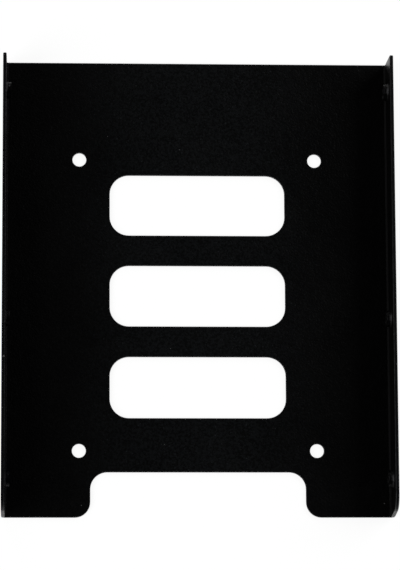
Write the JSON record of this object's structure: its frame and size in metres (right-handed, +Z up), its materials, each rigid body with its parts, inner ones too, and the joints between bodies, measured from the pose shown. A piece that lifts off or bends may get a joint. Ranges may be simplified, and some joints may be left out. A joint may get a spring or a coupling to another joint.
{
  "type": "drive bay adapter bracket",
  "caption": "Folded black sheet-metal tray with side flanges, windows and an end notch, which screws a small drive into a larger drive bay.",
  "frame": {"origin": "under the middle of the floor, at the centre of the box's bottom", "axes": "+Z up from the underside, +Y along the length to the plain far end, +X across to the right"},
  "size_m": [0.1016, 0.1198, 0.0127],
  "materials": {
    "black_coat": "fine-grained black powder coat, matt"
  },
  "bodies": {
    "root": {"bracket": "black_coat"}
  },
  "joints": []
}
